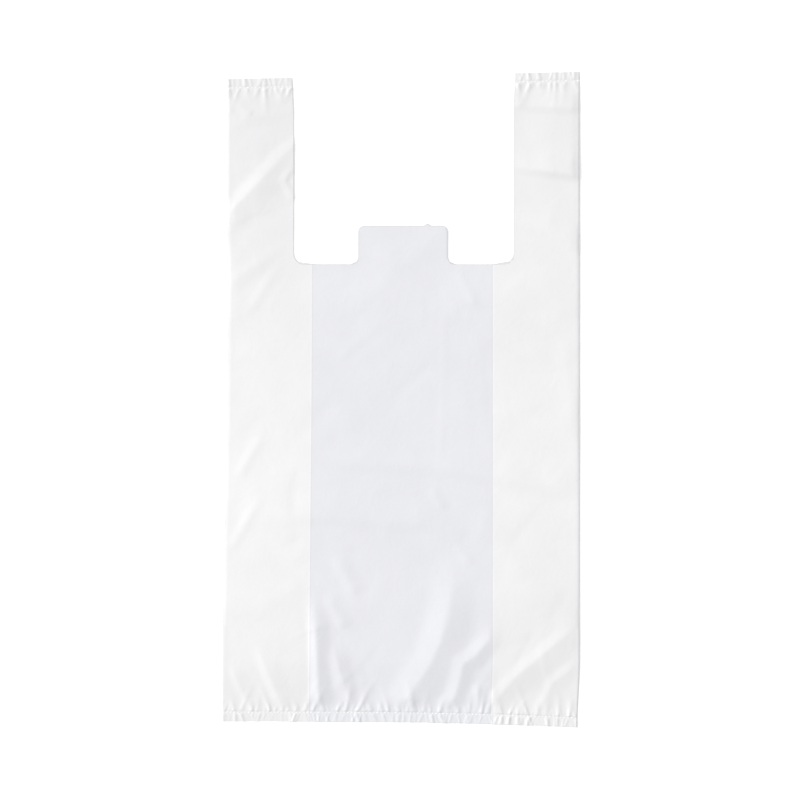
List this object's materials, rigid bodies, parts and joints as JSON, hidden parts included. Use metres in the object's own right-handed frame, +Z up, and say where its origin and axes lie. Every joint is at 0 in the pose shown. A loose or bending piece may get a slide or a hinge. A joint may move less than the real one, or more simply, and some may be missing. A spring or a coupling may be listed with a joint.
{
  "type": "plastic carrier bag",
  "caption": "Flat-lying carrier bag of thin white film with strap handles, folded side gussets and welded ends.",
  "frame": {"origin": "on the surface that the bag lies on, under the middle of its outline", "axes": "+X across the bag towards its right handle, +Y from the foot weld towards the handles, +Z up from the surface, out of the front panel"},
  "size_m": [0.2647, 0.4848, 0.0067],
  "materials": {
    "film": "thin white polyethylene film, satin, slightly see-through"
  },
  "bodies": {
    "root": {"carrier_bag": "film"}
  },
  "joints": []
}
